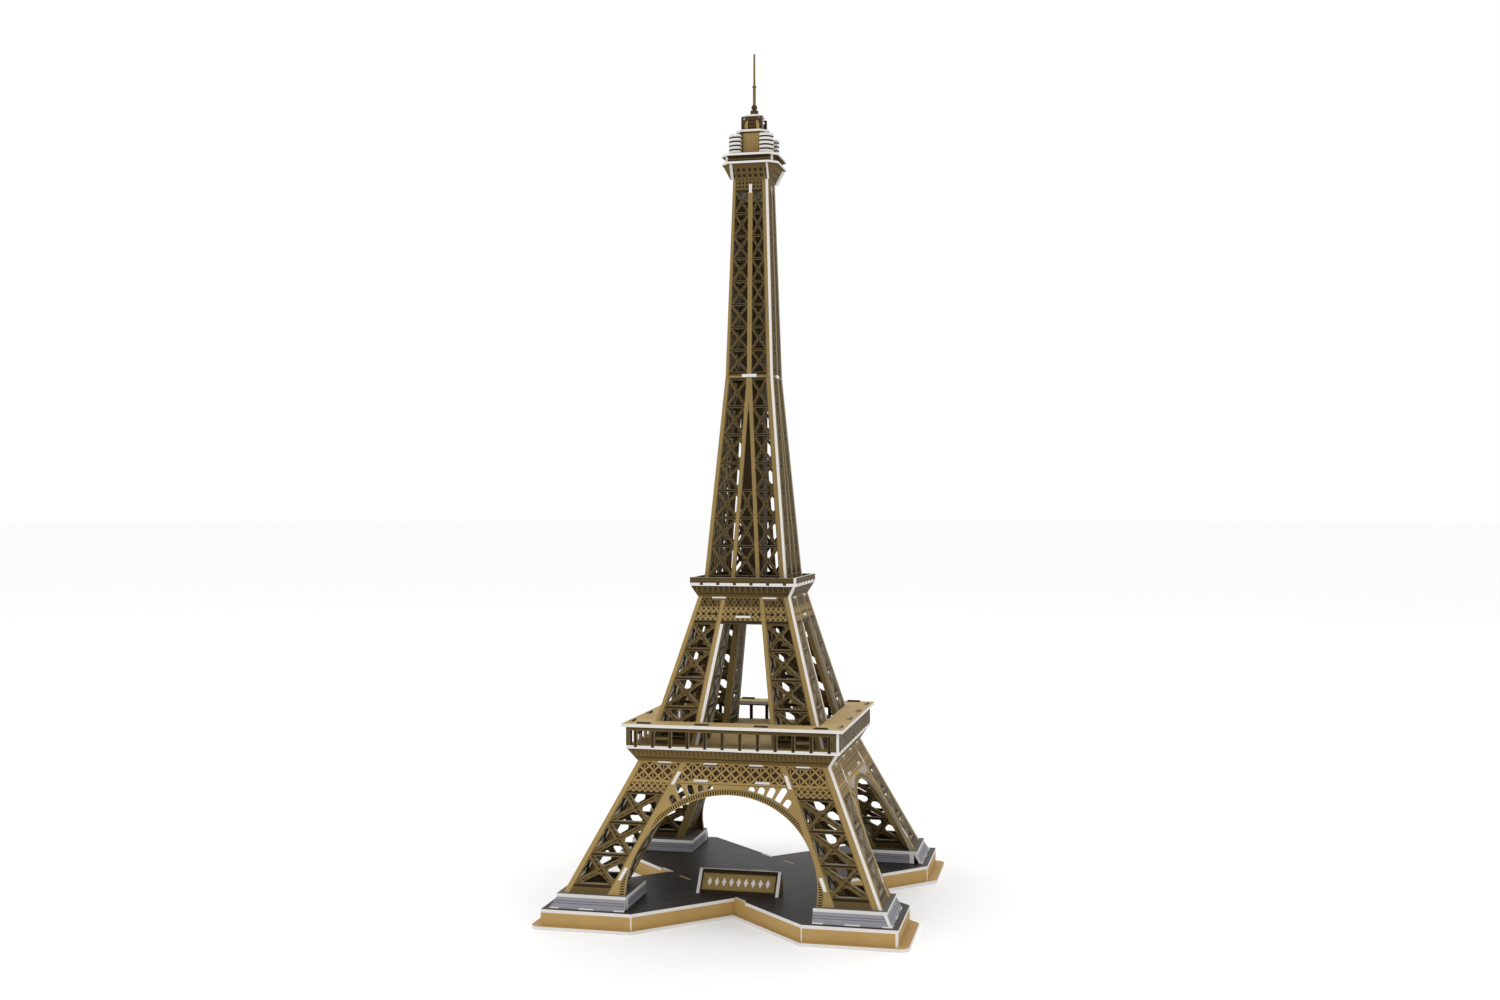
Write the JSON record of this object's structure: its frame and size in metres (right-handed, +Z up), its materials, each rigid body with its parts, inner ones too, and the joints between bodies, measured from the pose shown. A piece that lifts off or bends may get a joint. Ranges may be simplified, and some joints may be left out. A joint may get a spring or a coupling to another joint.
{
  "type": "lattice tower model",
  "caption": "Four-legged lattice tower souvenir model of slotted foam boards on a four-armed base with plinths, two platforms, a gallery, a cabin and a mast.",
  "frame": {"origin": "centre of the base plate's underside, on the table", "axes": "+Z up along the tower's axis, -Y towards the front with the nameplate, +X to the right seen from the front"},
  "size_m": [0.323, 0.315, 0.78],
  "materials": {
    "base_print": "plain tan print on foam board, white cut edges",
    "dark_print": "dark brown print on foam board",
    "deck_print": "charcoal paving print on foam board",
    "lattice_print": "ochre and olive lattice print on foam board, white cut edges",
    "mast_bronze": "satin bronze-coloured moulding",
    "nameplate_print": "gold panel with a dark border, no lettering",
    "platform_print": "warm tan print on foam board",
    "shade_print": "dark olive print on foam board",
    "stone_print": "grey masonry print on foam board",
    "white_board": "bare white foam board"
  },
  "bodies": {
    "root": {"antenna_mast": "mast_bronze", "base_deck": "deck_print", "base_end_walls": "base_print", "base_notch_walls": "base_print", "base_plate": "base_print", "base_ribs": "base_print", "cabin_roof": "lattice_print", "cabin_walls": "lattice_print", "core_walls": "shade_print", "corner_discs": "white_board", "cupola": "lattice_print", "cupola_cap": "white_board", "gallery_arcade_back": "lattice_print", "gallery_arcade_front": "lattice_print", "gallery_arcade_left": "lattice_print", "gallery_arcade_right": "lattice_print", "gallery_floor": "platform_print", "gallery_roof": "platform_print", "lower_cornice": "shade_print", "lower_facade_back": "lattice_print", "lower_facade_front": "lattice_print", "lower_facade_left": "lattice_print", "lower_facade_right": "lattice_print", "lower_leg_back_left": "lattice_print", "lower_leg_back_right": "lattice_print", "lower_leg_front_left": "lattice_print", "lower_leg_front_right": "lattice_print", "lower_tie_plates": "shade_print", "mast_base": "dark_print", "mid_shaft_plate": "shade_print", "middle_cornice": "shade_print", "middle_deck": "dark_print", "middle_facade_back": "lattice_print", "middle_facade_front": "lattice_print", "middle_facade_left": "lattice_print", "middle_facade_right": "lattice_print", "middle_leg_back_left": "lattice_print", "middle_leg_back_right": "lattice_print", "middle_leg_front_left": "lattice_print", "middle_leg_front_right": "lattice_print", "middle_parapet": "dark_print", "middle_tie_plates": "shade_print", "nameplate": "nameplate_print", "nameplate_props": "nameplate_print", "plinth_caps": "stone_print", "plinth_walls": "stone_print", "shaft_lower_back": "lattice_print", "shaft_lower_front": "lattice_print", "shaft_lower_left": "lattice_print", "shaft_lower_right": "lattice_print", "shaft_spreader": "shade_print", "shaft_upper_back": "lattice_print", "shaft_upper_front": "lattice_print", "shaft_upper_left": "lattice_print", "shaft_upper_right": "lattice_print", "top_cornice": "shade_print", "top_decks": "lattice_print", "top_fascia": "shade_print"}
  },
  "joints": []
}
